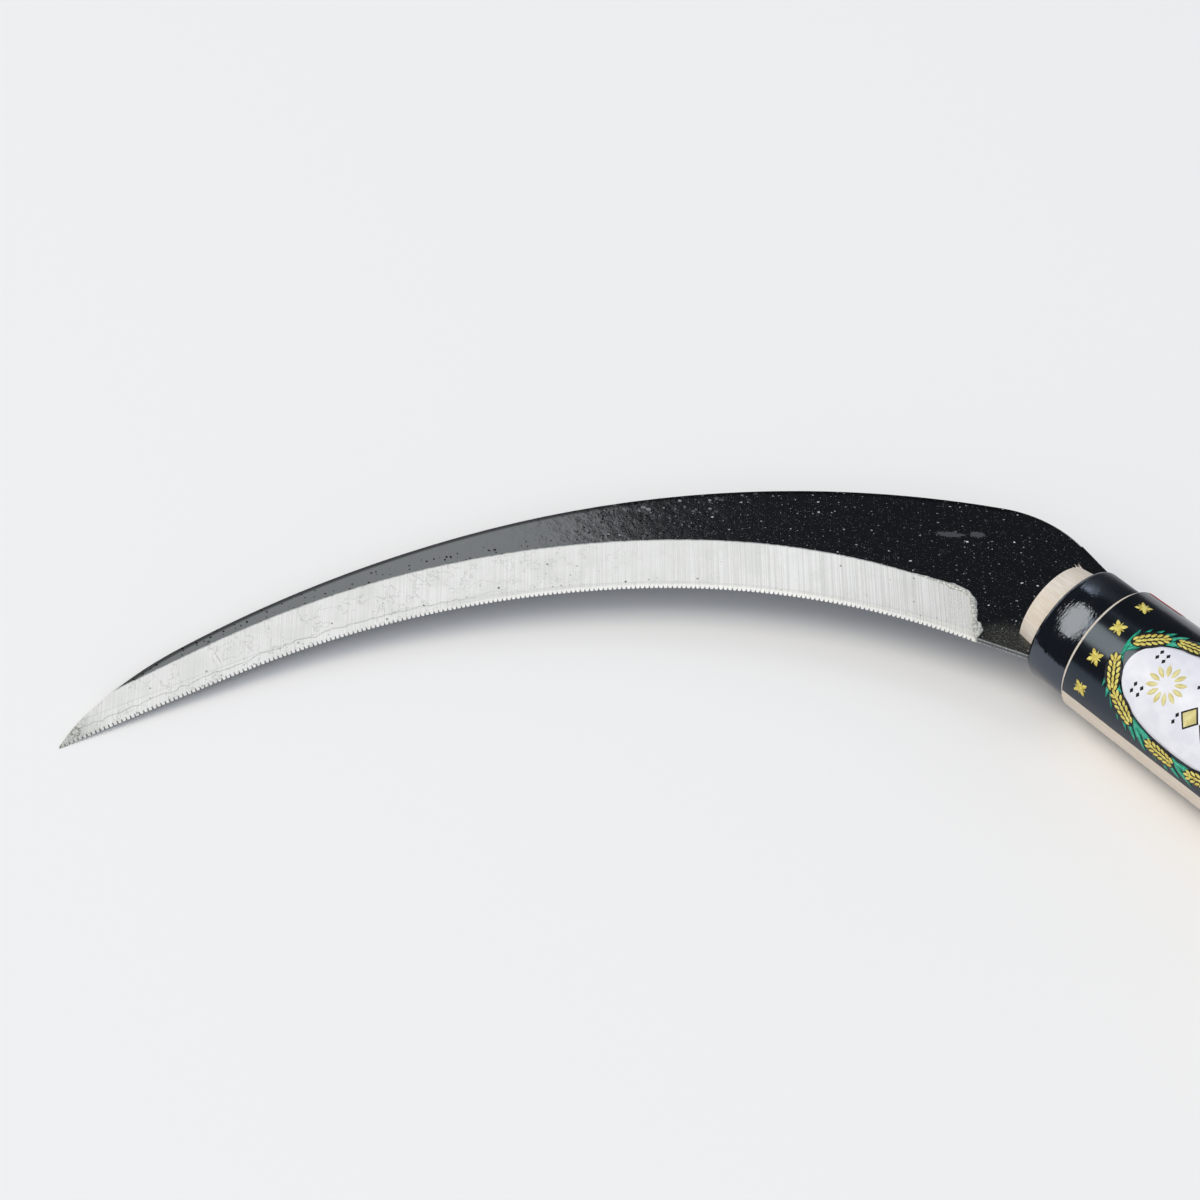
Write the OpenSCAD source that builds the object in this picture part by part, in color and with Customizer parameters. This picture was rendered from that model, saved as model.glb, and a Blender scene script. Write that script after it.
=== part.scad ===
// Saw-toothed sickle with a turned wooden handle, lying on a flat surface as it is put down.
// The origin is the middle of the straight grip, on the handle's axis. X runs along the
// handle toward the blade, Y to the side that the blade curves to, and Z up.
// The whole blade is one thin plate: a tang in a sawn slot, a bare base, and a long curved
// cutting length with a ground band and fine teeth on its hollow side.

/* [Handle] */
// Radius of the straight grip
grip_r = 15; // [12:0.5:18]
// Length of the straight grip
grip_l = 72; // [50:1:110]
// Length of the tapered front, between the grip and the shoulder
taper_l = 70; // [62:1:100]
// Radius of the wood at the shoulder
shoulder_r = 13.8; // [13:0.1:14.6]
// Rounding of the butt end
butt_round = 8; // [2:0.5:11]
// Bevel on the wood's shoulder edge
shoulder_bevel = 0.4; // [0.1:0.1:1]

/* [Ferrule and wooden nose] */
// Length of the ferrule along the handle
ferrule_l = 9.7; // [7:0.1:16]
// Outer radius of the ferrule, across the blade's plane
ferrule_r = 11.9; // [11:0.1:12.4]
// How much wider the ferrule is along the blade's plane, where the plate spreads it
ferrule_oval = 1.11; // [1:0.01:1.14]
// Wall of the ferrule
ferrule_wall = 0.9; // [0.6:0.1:1.5]
// Rounding of the ferrule's front rim
ferrule_rim = 0.7; // [0.2:0.1:0.8]
// Play between the ferrule and the wood under it
ferrule_play = 0.05; // [0:0.01:0.2]
// How far the wood reaches out of the ferrule
nose_l = 5; // [3:0.1:9]
// Radius of the nose's end
nose_r = 10; // [8.5:0.1:10.6]

/* [Label] */
// Length of the label along the handle
label_l = 54; // [40:1:56]
// Thickness of the label
label_t = 0.15; // [0.1:0.05:0.4]
// Thickness of the glue under the label
glue_t = 0.05; // [0.02:0.01:0.1]
// Bare wood between the shoulder and the label
label_margin = 0.7; // [0.5:0.1:3]
// How far the label reaches round the handle, in degrees
label_wrap = 305; // [200:1:330]
// Height of the label's straight edge, in degrees below the side that the blade curves to
label_edge = 5; // [0:1:20]

/* [Blade plate] */
// Thickness of the plate
plate_t = 1.6; // [1.2:0.1:2.4]
// Reach of the plate's base on its back side, at the ferrule
base_back = 13.7; // [12:0.1:15]
// Reach of the plate's base on its front side, at the ferrule
base_front = 12.8; // [12:0.1:15]
// Bevel along the upper edge of the back
back_bevel = 0.4; // [0.1:0.05:0.7]

/* [Curve of the back] */
// Straight run of the back in front of the ferrule
neck_l = 12; // [8:0.1:18]
// Angle at which that run leaves the handle's line
neck_splay = 10.3; // [2:0.1:13]
// Radius of the bend between neck and blade
crook_r = 26.5; // [18:0.5:40]
// Turn of that bend in degrees
crook_turn = 42.3; // [36:0.1:46]
// Radius of the back's first long arc
back_r = 195; // [170:1:220]
// Turn of the first long arc in degrees
back_turn = 32; // [27:0.1:36]
// Radius of the back's second long arc
fore_r = 226; // [190:1:255]
// Turn of the second long arc in degrees
fore_turn = 17.6; // [15:0.1:21]
// Radius of the arc that runs down to the tip
tip_r = 74; // [56:1:90]
// Turn of that arc in degrees
tip_turn = 25; // [20:0.1:30]
// Radius of the small rounding at the very tip
nib_r = 1.5; // [0.8:0.1:3]
// Turn of that rounding in degrees
nib_turn = 29; // [10:1:50]

/* [Curve of the edge] */
// Distance from the ferrule to the heel of the edge
heel_x = 10.2; // [8:0.1:16]
// Reach of the heel from the handle's axis
heel_y = 16.8; // [15.5:0.1:19]
// Direction of the edge at the heel, in degrees from the handle's line
heel_angle = 19.3; // [15:0.1:24]
// Radius of the edge's first arc
edge_r = 145; // [125:1:165]
// Turn of the first arc in degrees
edge_turn = 28.4; // [24:0.1:33]
// Radius of the edge's second arc, and the last part closes on the tip
edge_fore_r = 182; // [160:1:205]
// Turn of the second arc in degrees
edge_fore_turn = 26.4; // [22:0.1:27]

/* [Ground band] */
// Width of the band at the heel, along the direction of grinding
band_heel = 11.6; // [9:0.1:14]
// Direction of grinding, in degrees from the handle's line
grind_angle = 41.8; // [35:0.1:50]
// Direction of the band's border at the heel
border_angle = 17.5; // [14:0.1:21]
// Radius of the first arc of the band's border
border_r = 129; // [115:1:150]
// Turn of that first arc in degrees
border_turn = 26.2; // [22:0.1:32]
// Radius of the border's second arc
border_fore_r = 174; // [150:1:200]
// Turn of the second arc in degrees, and the last part runs out over the back near the tip
border_fore_turn = 34.4; // [30:0.1:35]
// Distance from the tip to the line of the border
band_tip = 6; // [4.5:0.1:9]
// Rounding of the band's corner at the heel
heel_round = 4.5; // [2:0.1:6]
// Slope of the ground band in degrees
band_slope = 5.7; // [4:0.1:6.5]

/* [Edge and teeth] */
// Thickness of the steel at the very edge
edge_t = 0.13; // [0.08:0.01:0.3]
// Slope of the narrow bevel along the edge in degrees
edge_slope = 18; // [14:0.5:30]
// Spacing of the teeth
tooth_pitch = 0.95; // [0.9:0.05:2.5]
// Depth of a tooth groove at the edge
groove_d = 0.36; // [0.3:0.02:0.55]
// Length of a groove under the blade
groove_l = 2.2; // [1.5:0.1:5]
// Half angle of a groove in degrees
groove_half = 40; // [30:1:42]

/* [Tang and nail] */
// Length of the tang behind the ferrule's front
tang_l = 55; // [40:1:64]
// Width of the tang at the ferrule
tang_w = 22; // [18:0.1:22.2]
// Width of the tang at its end
tang_end_w = 12; // [8:0.5:16]
// Play of the tang in its slot, on each side
slot_play = 0.08; // [0.03:0.01:0.2]
// Radius of the nail through the tang
nail_r = 1.5; // [1:0.1:2]
// Distance of the nail behind the shoulder
nail_x = 16; // [8:0.5:30]
// How far each end of the nail lies under the wood's surface
nail_sink = 0.3; // [0.1:0.1:1]
// Play around the nail
nail_play = 0.05; // [0.02:0.01:0.2]

/* [Hidden] */
$fn = 180;
arc_step = 3;                                  // longest chord of the plate's outline
arc_least = 3;                                 // and the least number of chords in an arc
clear = 1;                                     // how far a cutter reaches past what it cuts
over_heel = 6;                                 // and past the heel, in degrees of its sweep
over_tip = 1;                                  // and past the tip
shoulder_x = grip_l / 2 + taper_l;
rim_x = shoulder_x + ferrule_l;
nose_x = rim_x + nose_l;
butt_x = -grip_l / 2 - butt_round;
ferrule_inner = ferrule_r - ferrule_wall;
seat_r = ferrule_inner - ferrule_play;
top_z = plate_t / 2;
slot_x = rim_x - tang_l - clear;               // closed end of the sawn slot
heel_chords = 3;                               // chords in the rounded corner at the heel
nose_step = 0.1;                               // how far the nose starts inside its seat
heel_step = 0.1;                               // how far the grinding ends before the corner

// A place on an outline is [x, y, heading], and an arc goes on from it.
// A positive radius and turn bend to the left, both negative bend to the right.
function turned(p, r, a) =
    [p.x + r * (sin(p.z + a) - sin(p.z)), p.y - r * (cos(p.z + a) - cos(p.z)), p.z + a];
function ahead(p, l) = [p.x + l * cos(p.z), p.y + l * sin(p.z), p.z];
function bend(p, l, a, n) =
    n == 0 ? [p] : concat([p], bend(ahead([p.x, p.y, p.z + a], l), l, a, n - 1));
function aside(p, l) = [p.x + l * sin(p.z), p.y - l * cos(p.z)];
function arc_length(r, a) = r * a * PI / 180;
// The points lie half a step inside the arc's ends, so that no corner falls on a smooth join.
function arc_points(p, r, a) =
    let (n = max(arc_least, ceil(arc_length(r, a) / arc_step)))
    [for (i = [1:n]) let (q = turned(p, r, a * (i - 0.5) / n)) [q.x, q.y]];
// The arc that goes on from a place and ends at a point, as [radius, turn]
function arc_to(p, end) =
    let (d = [end.x - p.x, end.y - p.y], side = d.y * cos(p.z) - d.x * sin(p.z))
    let (r = d * d / (2 * side))
    [r, 2 * asin(norm(d) / (2 * r))];

neck = [0, -base_back, -neck_splay];
crook = ahead(neck, neck_l);
back = turned(crook, crook_r, crook_turn);
fore = turned(back, back_r, back_turn);
point = turned(fore, fore_r, fore_turn);
nib = turned(point, tip_r, tip_turn);
tip = turned(nib, nib_r, nib_turn);

heel = [heel_x, heel_y, heel_angle];
edge_mid = turned(heel, edge_r, edge_turn);
edge_far = turned(edge_mid, edge_fore_r, edge_fore_turn);
edge_close = arc_to(edge_far, tip);
edge_to_mid = arc_length(edge_r, edge_turn);
edge_to_far = edge_to_mid + arc_length(edge_fore_r, edge_fore_turn);
edge_all = edge_to_far + arc_length(edge_close[0], edge_close[1]);
edge_end = turned(edge_far, edge_close[0], edge_close[1]);

border_start = [heel.x + band_heel * cos(grind_angle), heel.y - band_heel * sin(grind_angle),
                border_angle];
border_mid = turned(border_start, border_r, border_turn);
border_far = turned(border_mid, border_fore_r, border_fore_turn);
border_close = arc_to(border_far, aside(edge_end, band_tip));

// The blade is turned about the handle's axis until its tip rests where the grip rests.
lay_angle = asin((grip_r - top_z) / tip.y);
teeth = floor((edge_all - 2 * tooth_pitch) / tooth_pitch);

// The outline's points run from the ferrule along the back to the tip, and home by the edge.
function back_points() = concat(
    [[0, -base_back]],
    arc_points(crook, crook_r, crook_turn),
    arc_points(back, back_r, back_turn),
    arc_points(fore, fore_r, fore_turn),
    arc_points(point, tip_r, tip_turn),
    arc_points(nib, nib_r, nib_turn),
    [[tip.x, tip.y]]);
function edge_points() = concat(
    [[heel.x, heel.y]],
    arc_points(heel, edge_r, edge_turn),
    arc_points(edge_mid, edge_fore_r, edge_fore_turn),
    arc_points(edge_far, edge_close[0], edge_close[1]));
function reversed(list) = [for (i = [len(list) - 1:-1:0]) list[i]];
function tang_points() = [
    [0, base_front], [0, tang_w / 2], [-tang_l + tang_end_w / 3, tang_end_w / 2],
    [-tang_l, tang_end_w / 4], [-tang_l, -tang_end_w / 4],
    [-tang_l + tang_end_w / 3, -tang_end_w / 2], [0, -tang_w / 2]];
function place_on_edge(s) =
    s < edge_to_mid ? turned(heel, edge_r, edge_turn * s / edge_to_mid)
    : s < edge_to_far
        ? turned(edge_mid, edge_fore_r,
                 edge_fore_turn * (s - edge_to_mid) / (edge_to_far - edge_to_mid))
        : turned(edge_far, edge_close[0],
                 edge_close[1] * (s - edge_to_far) / (edge_all - edge_to_far));

// Sweeps a flat profile along an arc. The profile's x is the distance to the right of the arc
// and its y is the height. The sweep can start before the arc and run on after it, by degrees.
module along_arc(p, r, a, before = 0, after = 0) {
    translate([p.x - r * sin(p.z), p.y + r * cos(p.z), 0])
        rotate([0, 0, r > 0 ? p.z - 90 - before : p.z + 90 + a - after])
            rotate_extrude(angle = abs(a) + before + after)
                translate([abs(r), 0]) mirror([r > 0 ? 0 : 1, 0]) children();
}

module about_handle() {
    rotate([0, 90, 0]) children();
}

module in_blade_plane() {
    rotate([-lay_angle, 0, 0]) translate([rim_x, 0, 0]) children();
}

// Makes a round shape about the handle's axis as wide along the blade as the ferrule is.
module spread() {
    rotate([-lay_angle, 0, 0]) scale([1, ferrule_oval, 1]) children();
}

module plate() {
    translate([0, 0, -top_z]) linear_extrude(plate_t)
        polygon(concat(back_points(), reversed(edge_points()), tang_points()));
}

module band_profile() {
    reach = 2 * band_heel;
    polygon([[0, top_z + clear], [0, top_z],
             [-reach, top_z - reach * tan(band_slope)], [-reach, top_z + clear]]);
}

module edge_profile() {
    rise = plate_t - edge_t + clear;
    polygon([[-clear, edge_t - top_z - clear * tan(edge_slope)],
             [rise / tan(edge_slope), top_z + clear], [-clear, top_z + clear]]);
}

// The steel that the grinding wheel leaves at the heel: all behind its slanted last line, and
// the corner between that line and the border, rounded by a few straight chords.
module heel_stop() {
    turn = grind_angle + border_angle;
    step = turn / (heel_chords + 1);
    end = ahead(heel, heel_step);
    last_line = [end.x, end.y, -grind_angle];
    corner = bend(ahead(last_line, band_heel - heel_round * tan(turn / 2)),
                  2 * heel_round * sin(step / 2), step, heel_chords);
    past = ahead(corner[heel_chords], clear);
    far = 2 * band_heel;
    outline = concat([ahead(last_line, -far)], corner,
                     [past, [past.x, -far], [-far, -far], [-far, 2 * far]]);
    translate([0, 0, -plate_t]) linear_extrude(2 * plate_t)
        polygon([for (q = outline) [q.x, q.y]]);
}

// Takes the ground band and the narrow bevel of the edge off the plate. Arcs that follow each
// other only touch, so the outer ones are cut first and the middle ones after them.
module ground_plate() {
    difference() {
        difference() {
            plate();
            difference() {
                union() {
                    along_arc(border_start, border_r, border_turn, before = over_heel)
                        band_profile();
                    along_arc(heel, edge_r, edge_turn, before = over_heel) edge_profile();
                }
                heel_stop();
            }
            along_arc(border_far, border_close[0], border_close[1], after = over_tip)
                band_profile();
            along_arc(edge_far, edge_close[0], edge_close[1], after = over_tip) edge_profile();
        }
        along_arc(border_mid, border_fore_r, border_fore_turn) band_profile();
        along_arc(edge_mid, edge_fore_r, edge_fore_turn) edge_profile();
    }
}

// The arcs of the back are cut in the same two goes. Near the tip the ground band has taken the
// corner off, so the small rounding has no bevel of its own.
module bevelled_plate() {
    module bevel_profile() {
        polygon([[-back_bevel - clear, top_z + clear], [clear, top_z - back_bevel - clear],
                 [clear, top_z + clear]]);
    }
    difference() {
        difference() {
            ground_plate();
            along_arc(crook, crook_r, crook_turn) bevel_profile();
            along_arc(fore, fore_r, fore_turn) bevel_profile();
        }
        along_arc(back, back_r, back_turn) bevel_profile();
        along_arc(point, tip_r, tip_turn, after = over_tip) bevel_profile();
    }
}

// A groove runs in from the edge under the blade and gets shallower until it runs out.
module tooth_groove(p) {
    width = 2 * groove_d * tan(groove_half);
    translate([p.x, p.y, groove_d - top_z])
        rotate([0, atan(groove_d / groove_l), p.z - 90])
            rotate([90, 0, 90]) translate([0, 0, -clear]) linear_extrude(groove_l + 2 * clear)
                polygon([[0, 0], [-width, -2 * groove_d], [width, -2 * groove_d]]);
}

module nail(r, sink) {
    reach = shoulder_r + (grip_r - shoulder_r) * nail_x / taper_l - sink;
    translate([-ferrule_l - nail_x, 0, -reach]) cylinder(r = r, h = 2 * reach);
}

module blade() {
    color("#17181b") in_blade_plane() difference() {
        bevelled_plate();
        for (i = [0:teeth - 1]) tooth_groove(place_on_edge((i + 1.5) * tooth_pitch));
        nail(nail_r, 0);
    }
}

module handle_body() {
    straight = butt_x + butt_round;
    about_handle() rotate_extrude() {
        polygon([[0, straight], [grip_r, straight], [grip_r, grip_l / 2],
                 [shoulder_r, shoulder_x - shoulder_bevel],
                 [shoulder_r - shoulder_bevel, shoulder_x], [0, shoulder_x]]);
        translate([0, butt_x]) square([grip_r - butt_round, butt_round]);
        intersection() {
            translate([grip_r - butt_round, straight]) circle(butt_round);
            translate([grip_r - butt_round, butt_x]) square(butt_round);
        }
    }
    spread() translate([shoulder_x - clear, 0, 0]) about_handle()
        cylinder(r = seat_r, h = ferrule_l + clear);
    translate([rim_x - clear, 0, 0]) about_handle()
        cylinder(r1 = seat_r - nose_step, r2 = nose_r, h = nose_l + clear);
}

module handle() {
    slot_w = 2 * seat_r * ferrule_oval + clear;
    color("#e6d3b4") difference() {
        handle_body();
        in_blade_plane() translate([slot_x - rim_x, -slot_w / 2, -top_z - slot_play])
            cube([nose_x - slot_x + clear, slot_w, plate_t + 2 * slot_play]);
        in_blade_plane() nail(nail_r + nail_play, -clear);
    }
}

// The front rim is rounded off by two cones, one shallow and one steep.
module ferrule() {
    slope = tan(22.5);
    color("#111214") difference() {
        spread() translate([shoulder_x, 0, 0]) about_handle() intersection() {
            cylinder(r = ferrule_r, h = ferrule_l);
            cylinder(r1 = ferrule_r + slope * (ferrule_l - ferrule_rim),
                     r2 = ferrule_r - slope * ferrule_rim, h = ferrule_l);
            cylinder(r1 = ferrule_r - ferrule_rim + ferrule_l / slope,
                     r2 = ferrule_r - ferrule_rim, h = ferrule_l);
        }
        spread() translate([shoulder_x - clear, 0, 0]) about_handle()
            cylinder(r = ferrule_inner, h = ferrule_l + 2 * clear);
    }
}

module tang_pin() {
    color("#8d9094") in_blade_plane() nail(nail_r, nail_sink);
}

module label() {
    front = shoulder_x - label_margin;
    growth = (grip_r - shoulder_r) / (taper_l - shoulder_bevel);
    front_r = shoulder_r + (label_margin - shoulder_bevel) * growth + glue_t;
    rear_r = front_r + label_l * growth;
    color("#101113") about_handle() rotate([0, 0, 90 - label_edge]) rotate_extrude(angle = label_wrap)
        polygon([[front_r, front], [rear_r, front - label_l],
                 [rear_r + label_t, front - label_l], [front_r + label_t, front]]);
}

blade();
handle();
ferrule();
tang_pin();
label();
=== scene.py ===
# %% [markdown]
# # A saw-toothed sickle, from bare solids to finished tool
# The five solids come from CAD: blade, handle, ferrule, nail and label. They keep their shape
# and their place, and this lesson gives each one the finish of the real tool. The blade is
# what people look at, so most of the work goes there.

import math

import bpy
import mathutils
import numpy as np
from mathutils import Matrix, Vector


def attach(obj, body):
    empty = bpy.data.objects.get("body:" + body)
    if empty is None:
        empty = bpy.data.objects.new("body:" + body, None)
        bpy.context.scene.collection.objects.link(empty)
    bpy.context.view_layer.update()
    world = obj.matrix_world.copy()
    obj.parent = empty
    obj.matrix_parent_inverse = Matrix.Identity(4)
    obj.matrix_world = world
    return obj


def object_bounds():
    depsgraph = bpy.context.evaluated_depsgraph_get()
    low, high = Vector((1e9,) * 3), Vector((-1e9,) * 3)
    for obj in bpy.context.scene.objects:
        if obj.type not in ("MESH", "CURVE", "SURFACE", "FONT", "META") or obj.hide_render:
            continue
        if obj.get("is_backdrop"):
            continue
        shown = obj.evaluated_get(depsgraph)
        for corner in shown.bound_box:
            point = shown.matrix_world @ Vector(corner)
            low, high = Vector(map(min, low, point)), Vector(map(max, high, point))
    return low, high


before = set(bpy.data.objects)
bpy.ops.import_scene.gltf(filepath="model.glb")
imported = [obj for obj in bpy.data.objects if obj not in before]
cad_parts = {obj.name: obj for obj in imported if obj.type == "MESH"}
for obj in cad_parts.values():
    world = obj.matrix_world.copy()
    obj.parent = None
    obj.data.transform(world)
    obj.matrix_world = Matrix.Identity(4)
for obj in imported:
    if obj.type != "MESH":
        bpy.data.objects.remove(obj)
cad_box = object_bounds()
print("CAD box in mm:", [[round(float(c) * 1000, 1) for c in corner] for corner in cad_box])

# %% [markdown]
# ## The camera
# The photograph was taken with a long lens from above the hollow side of the blade. A long
# lens stands far away, so the tool shows little perspective. The place below was solved from
# the round ferrule and the straight shoulder.

# %% Camera
MM = 0.001
STANDS_AT = np.array([-161.2, 375.1, 493.3]) * MM
LOOKS_AT = np.array([194.2, 57.4, -15.0]) * MM


def aim(obj, place, target):
    """Puts a camera or lamp at a place and turns it so that its -Z axis points at the target."""
    obj.location = place
    obj.rotation_euler = mathutils.Vector(target - place).to_track_quat("-Z", "Y").to_euler()
    bpy.context.scene.collection.objects.link(obj)


lens = bpy.data.cameras.new("camera")
lens.lens, lens.sensor_width = 100, 36
camera = bpy.data.objects.new("camera", lens)
aim(camera, STANDS_AT, LOOKS_AT)
bpy.context.scene.camera = camera
bpy.context.scene.view_settings.view_transform = "Standard"
print("camera stands", round(camera.location.length, 3), "m from the grip")

# %% [markdown]
# ## Colours and nodes
# A colour is written as the hex value that a painter would pick on a screen. Blender mixes
# light in linear numbers, so one function turns the one into the other. A second function adds
# a shader node, with its settings and with its sockets filled or linked. Everything else in a
# material is made of calls to that one. The four numbers of a Map Range are two values and what
# each of them becomes. The third number of a Math node that multiplies and adds is what it adds.

# %% Colour and node helpers
SMOOTH = {"interpolation_type": "SMOOTHSTEP"}  # a Map Range that eases in and out
TINT = {"out": 2, "data_type": "RGBA"}  # a Mix of colours, whose sockets are 0, 6 and 7


def paint(code):
    """#rrggbb as linear RGBA: c / 12.92 for dark values, ((c + 0.055) / 1.055) ** 2.4 above."""
    c = np.array([int(code[i : i + 2], 16) for i in (1, 3, 5)]) / 255
    c = np.where(c <= 0.04045, c / 12.92, ((c + 0.055) / 1.055) ** 2.4)
    return (*(float(v) for v in c), 1.0)


def put(tree, kind, sockets=(), out=0, **settings):
    """Adds a shader node and gives back one of its outputs. settings are its properties. sockets
    are its inputs in order, or by name or number: another node's output is linked, and any other
    value is set."""
    node = tree.nodes.new("ShaderNode" + kind)
    for name, value in settings.items():
        setattr(node, name, value)
    for key, value in (sockets if isinstance(sockets, dict) else dict(enumerate(sockets))).items():
        if isinstance(value, bpy.types.NodeSocket):
            tree.links.new(value, node.inputs[key])
        elif value is not None:
            node.inputs[key].default_value = value
    return node.outputs[out] if len(node.outputs) else node


def new_finish(name):
    """An empty material and its node tree."""
    material = bpy.data.materials.new(name)
    material.use_nodes = True
    material.node_tree.nodes.clear()
    return material, material.node_tree


def coat(node_name, material):
    """Gives a CAD solid its finish. Its mesh stays as it is."""
    slots = bpy.data.objects[node_name].material_slots
    for place in slots:
        place.material = material
    print(node_name, "has", len(slots), "slot(s) of", material.name)


# %% [markdown]
# ## Light
# A large round softbox stands to the left, beyond the tip and half way up. A smaller strip behind
# the tool is what the left half of the black blade mirrors, and where the strip ends the mirror
# turns black. A white reflector on the camera's side and a plain pale room fill the rest with
# slightly blue light, which is why the shadow is light and blue-grey. Glossy surfaces see a
# darker room, as they do between the black flags of a studio. The floor is pale card.

# %% Softbox, strip and reflector
CENTRE = np.array([0.17, 0.06, 0.0])  # the place that the lights point at, in metres
FAR = 6.0  # metres away


def soft_light(name, turn, rise, size, watts, shape="RECTANGLE", tint=(1.0, 1.0, 1.0)):
    """A flat light FAR from CENTRE toward (cos rise cos turn, cos rise sin turn, sin rise). The
    angles are in degrees and its size in metres."""
    t, r = math.radians(turn), math.radians(rise)
    toward = np.array([math.cos(r) * math.cos(t), math.cos(r) * math.sin(t), math.sin(r)])
    lamp = bpy.data.lights.new(name, "AREA")
    lamp.shape = shape
    lamp.size, lamp.size_y = size
    lamp.energy = watts
    lamp.color = tint
    aim(bpy.data.objects.new(name, lamp), CENTRE + FAR * toward, CENTRE)


soft_light("softbox", 54, 54.5, (4.1, 3.75), 150, "ELLIPSE", (1.0, 0.93, 0.78))
soft_light("strip", -23, 51, (1.27, 1.4), 14.5, tint=(0.93, 0.98, 1.0))
soft_light("reflector", 137, 54, (5.0, 5.0), 105, tint=(0.88, 0.93, 0.965))
print("lamps and their watts:", {lamp.name: lamp.energy for lamp in bpy.data.lights})

# %% Room and floor
room = bpy.data.worlds.new("room")
bpy.context.scene.world = room
room.use_nodes = True
tree = room.node_tree
tree.nodes.clear()
seen = put(tree, "LightPath", out="Is Camera Ray")
mirrored = put(tree, "LightPath", out="Is Glossy Ray")
fill = put(tree, "Background", [(0.395, 0.438, 0.52, 1), 1.0])
flags = put(tree, "Background", [(0.07, 0.078, 0.09, 1), 1.0])
backdrop = put(tree, "Background", [paint("#ececec"), 1.0])
lighting = put(tree, "MixShader", [mirrored, fill, flags])
put(tree, "OutputWorld", [put(tree, "MixShader", [seen, lighting, backdrop])])

floor_z = float(cad_box[0][2])
floor_mesh = bpy.data.meshes.new("floor")
floor_corners = [(x, y, floor_z) for x, y in ((-4, -4), (4, -4), (4, 4), (-4, 4))]
floor_mesh.from_pydata(floor_corners, [], [(0, 1, 2, 3)])
floor = bpy.data.objects.new("floor", floor_mesh)
bpy.context.scene.collection.objects.link(floor)
pale_card, tree = new_finish("pale_card")
card = {"Base Color": paint("#f9f6f3"), "Roughness": 0.9, "Specular IOR Level": 0.1}
put(tree, "OutputMaterial", [put(tree, "BsdfPrincipled", card)])
floor_mesh.materials.append(pale_card)
floor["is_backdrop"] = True
print("floor lies at", round(floor_z * 1000, 1), "mm")

# %% [markdown]
# ## The blade's lines
# The finish of the blade follows its outline: lacquer above the border, ground steel below it,
# a bright bevel along the teeth. So the arcs of the edge and of the border are worked out again
# here, in millimetres in the blade's own plane, from the numbers that the solid was drawn with.
# The back's arcs are needed too, for the dark line that runs along it.

# %% Arcs of the edge, the border and the back
RIM_X = 115.7  # front of the ferrule, where the blade's plane starts
GRIP_R = 15.0  # radius of the grip, which lies on the same floor as the tip
TOP = 0.8  # height of the upper face above the plate's middle
HEEL = (10.2, 16.8, 19.3)  # x, y and heading in degrees
GRIND = 41.8  # how far the wheel's lines lean back from the handle's line
WHEEL_STOP = (*HEEL[:2], -GRIND)  # the wheel's last line, which starts at the heel
BAND_HEEL, BAND_TIP = 11.6, 6.0  # the band's width at the heel and at the tip


def turned(p, r, a):
    """Where an arc of radius r and turn a ends, when h is the heading at its start:
    x + r (sin(h + a) - sin h), y - r (cos(h + a) - cos h)."""
    h, k = np.radians(p[2]), np.radians(p[2] + a)
    return (p[0] + r * (np.sin(k) - np.sin(h)), p[1] - r * (np.cos(k) - np.cos(h)), p[2] + a)


def ahead(p, length):
    """Where a straight run of that length ends: x + length cos h, y + length sin h."""
    h = np.radians(p[2])
    return (p[0] + length * np.cos(h), p[1] + length * np.sin(h), p[2] + 0 * length)


def arc_to(p, end):
    """Radius and turn of the arc that goes on from p and ends at a point: r = d.d / (2 side)."""
    h = math.radians(p[2])
    dx, dy = end[0] - p[0], end[1] - p[1]
    r = (dx * dx + dy * dy) / (2 * (dy * math.cos(h) - dx * math.sin(h)))
    return r, math.degrees(2 * math.asin(math.hypot(dx, dy) / (2 * r)))


def arcs_from(p, *arcs):
    """Start and radius of each of some arcs that follow one another, and the end of the last."""
    line = []
    for r, a in arcs:
        line.append((p, r))
        p = turned(p, r, a)
    return line, p


# A place is x, y and the heading there. An arc is its radius in mm and its turn in degrees.
BACK_ROOT = (0, -13.7, -10.3)  # where the back comes out of the ferrule
BORDER_HEADING = 17.5  # at the heel
spine = turned(ahead(BACK_ROOT, 12), 26.5, 42.3)
BACK, nib = arcs_from(spine, (195, 32), (226, 17.6), (74, 25))
tip = turned(nib, 1.5, 29)
EDGE, edge_far = arcs_from(HEEL, (145, 28.4), (182, 26.4))
edge_close = arc_to(edge_far, tip)
edge_end = turned(edge_far, *edge_close)
EDGE.append((edge_far, edge_close[0]))

border_start = (*ahead(WHEEL_STOP, BAND_HEEL)[:2], BORDER_HEADING)
BORDER, border_far = arcs_from(border_start, (129, 26.2), (174, 34.4))
border_end = ahead((*edge_end[:2], edge_end[2] - 90), BAND_TIP)
BORDER.append((border_far, arc_to(border_far, border_end)[0]))

lay = math.asin((GRIP_R - TOP) / tip[1])
print("tip in the blade's plane, mm:", [round(float(c), 2) for c in tip[:2]])
print("the blade is laid over by", round(math.degrees(lay), 2), "degrees")

# %% [markdown]
# ## Places, as a shader sees them
# A shader gets a point of the surface in metres. Every finish here starts from the same point in
# millimetres, so a pattern's scale is the number of its waves in one millimetre. On the blade a
# Mapping node turns the point into the blade's plane: u along the handle, v across, w up from the
# middle of the plate. There the distance to an arc is the distance to its centre less its radius.

# %% Places and distances in a shader


def place_in_mm(tree):
    """The place of a surface point in the part, times 1000."""
    point = put(tree, "TexCoord", out="Object")
    return put(tree, "VectorMath", [point, (1000, 1000, 1000)], operation="MULTIPLY")


def blade_place(tree):
    """The point in the blade's plane, in mm, and the same with its height taken away."""
    turn = {"Location": (-RIM_X, 0, 0), "Rotation": (lay, 0, 0)}
    place = put(tree, "Mapping", {"Vector": place_in_mm(tree), **turn})
    return place, put(tree, "VectorMath", [place, (1, 1, 0)], operation="MULTIPLY")


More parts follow.
